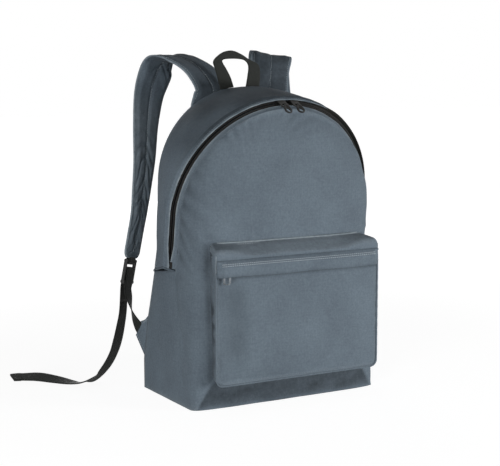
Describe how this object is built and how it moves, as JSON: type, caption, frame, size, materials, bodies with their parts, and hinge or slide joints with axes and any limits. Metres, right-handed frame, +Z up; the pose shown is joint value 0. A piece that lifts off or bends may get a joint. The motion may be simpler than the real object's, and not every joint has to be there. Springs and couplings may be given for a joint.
{
  "type": "daypack",
  "caption": "Soft round-topped daypack with a zipped arched front panel, a flapped front pocket, a haul loop and padded adjustable shoulder straps.",
  "frame": {"origin": "middle of the base on the floor", "axes": "-Y is the front with the pocket, +Z is up, +X is to the right as seen from the front"},
  "size_m": [0.4642, 0.3064, 0.4753],
  "materials": {
    "shell_fabric": "woven, matt",
    "foam": "soft foam",
    "lining_fabric": "thin woven",
    "board": "matt",
    "zip_tape": "woven tape",
    "zip_coil": "satin",
    "black_metal": "satin paint",
    "grey_metal": "satin paint",
    "webbing": "ribbed webbing",
    "buckle_plastic": "satin"
  },
  "bodies": {
    "pack": {"front_panel": "shell_fabric", "top_gusset": "shell_fabric", "back_panel": "shell_fabric", "back_foam": "foam", "back_lining": "lining_fabric", "base_panel": "shell_fabric", "base_board": "board", "zip_lip": "shell_fabric", "zip_tape_front": "zip_tape", "zip_tape_rear": "zip_tape", "zip_coil_front": "zip_coil", "zip_coil_rear": "zip_coil", "zip_stop_left": "zip_coil", "zip_stop_right": "zip_coil", "pocket_face": "shell_fabric", "pocket_gusset": "shell_fabric", "pocket_top": "shell_fabric", "pocket_tape_low": "zip_tape", "pocket_tape_high": "zip_tape", "pocket_coil_low": "zip_coil", "pocket_coil_high": "zip_coil", "strap_anchor": "webbing", "wing_left": "shell_fabric", "wing_right": "shell_fabric", "lower_web_left": "webbing", "lower_web_right": "webbing", "tail_left": "webbing", "tail_right": "webbing"},
    "main_slider_left": {"main_slider_left": "black_metal"},
    "main_slider_right": {"main_slider_right": "black_metal"},
    "main_pull_left": {"main_pull_left": "black_metal"},
    "main_pull_right": {"main_pull_right": "black_metal"},
    "pocket_slider": {"pocket_slider": "grey_metal"},
    "pocket_pull": {"pocket_pull": "grey_metal"},
    "pocket_flap": {"pocket_flap": "shell_fabric"},
    "haul_loop": {"haul_loop": "webbing"},
    "strap_left": {"strap_face_left": "shell_fabric", "strap_foam_left": "foam", "strap_lining_left": "shell_fabric", "buckle_loop_left": "webbing"},
    "buckle_left": {"buckle_left": "buckle_plastic"},
    "strap_right": {"strap_face_right": "shell_fabric", "strap_foam_right": "foam", "strap_lining_right": "shell_fabric", "buckle_loop_right": "webbing"},
    "buckle_right": {"buckle_right": "buckle_plastic"}
  },
  "joints": [
    {"name": "main_zip_left", "type": "hinge", "parent": "pack", "child": "main_slider_left", "pos_m": [0, -0.02657, 0.2594], "axis": [0, -0.9603, -0.279], "range_deg": [0, 83]},
    {"name": "main_pull_left", "type": "hinge", "parent": "main_slider_left", "child": "main_pull_left", "pos_m": [-0.00982, -0.0719, 0.40437], "axis": [-0.9979, 0.018, -0.062], "range_deg": [-6, 126]},
    {"name": "main_zip_right", "type": "hinge", "parent": "pack", "child": "main_slider_right", "pos_m": [0, -0.02657, 0.2594], "axis": [0, 0.9603, 0.279], "range_deg": [0, 83]},
    {"name": "main_pull_right", "type": "hinge", "parent": "main_slider_right", "child": "main_pull_right", "pos_m": [0.00982, -0.0719, 0.40437], "axis": [-0.9979, -0.018, 0.062], "range_deg": [-6, 126]},
    {"name": "pocket_zip", "type": "slide", "parent": "pack", "child": "pocket_slider", "axis": [1, 0, 0], "range_m": [0, 0.222]},
    {"name": "pocket_pull", "type": "hinge", "parent": "pocket_slider", "child": "pocket_pull", "pos_m": [-0.112, -0.10795, 0.193], "axis": [-1, 0, 0], "range_deg": [-1, 5]},
    {"name": "pocket_flap", "type": "hinge", "parent": "pack", "child": "pocket_flap", "pos_m": [0, -0.1062, 0.2028], "axis": [-1, 0, 0], "range_deg": [0, 100]},
    {"name": "haul_loop", "type": "hinge", "parent": "pack", "child": "haul_loop", "pos_m": [0, 0.059, 0.4216], "axis": [1, 0, 0], "range_deg": [0, 75], "stiffness_Nm_per_rad": 0.02},
    {"name": "strap_left_swing", "type": "hinge", "parent": "pack", "child": "strap_left", "pos_m": [0, 0.064, 0.409], "axis": [1, 0, 0], "range_deg": [0, 12], "deforming": ["lower_web_left", "tail_left"]},
    {"name": "buckle_left_tilt", "type": "hinge", "parent": "strap_left", "child": "buckle_left", "pos_m": [-0.14818, 0.11183, 0.17463], "axis": [0.7948, 0.5757, -0.1919], "range_deg": [-15, 15], "deforming": ["lower_web_left", "tail_left"]},
    {"name": "strap_right_swing", "type": "hinge", "parent": "pack", "child": "strap_right", "pos_m": [0, 0.064, 0.409], "axis": [1, 0, 0], "range_deg": [0, 12], "deforming": ["lower_web_right", "tail_right"]},
    {"name": "buckle_right_tilt", "type": "hinge", "parent": "strap_right", "child": "buckle_right", "pos_m": [0.14249, 0.11184, 0.17471], "axis": [0.7791, -0.5804, 0.2368], "range_deg": [-15, 15], "deforming": ["lower_web_right", "tail_right"]}
  ]
}
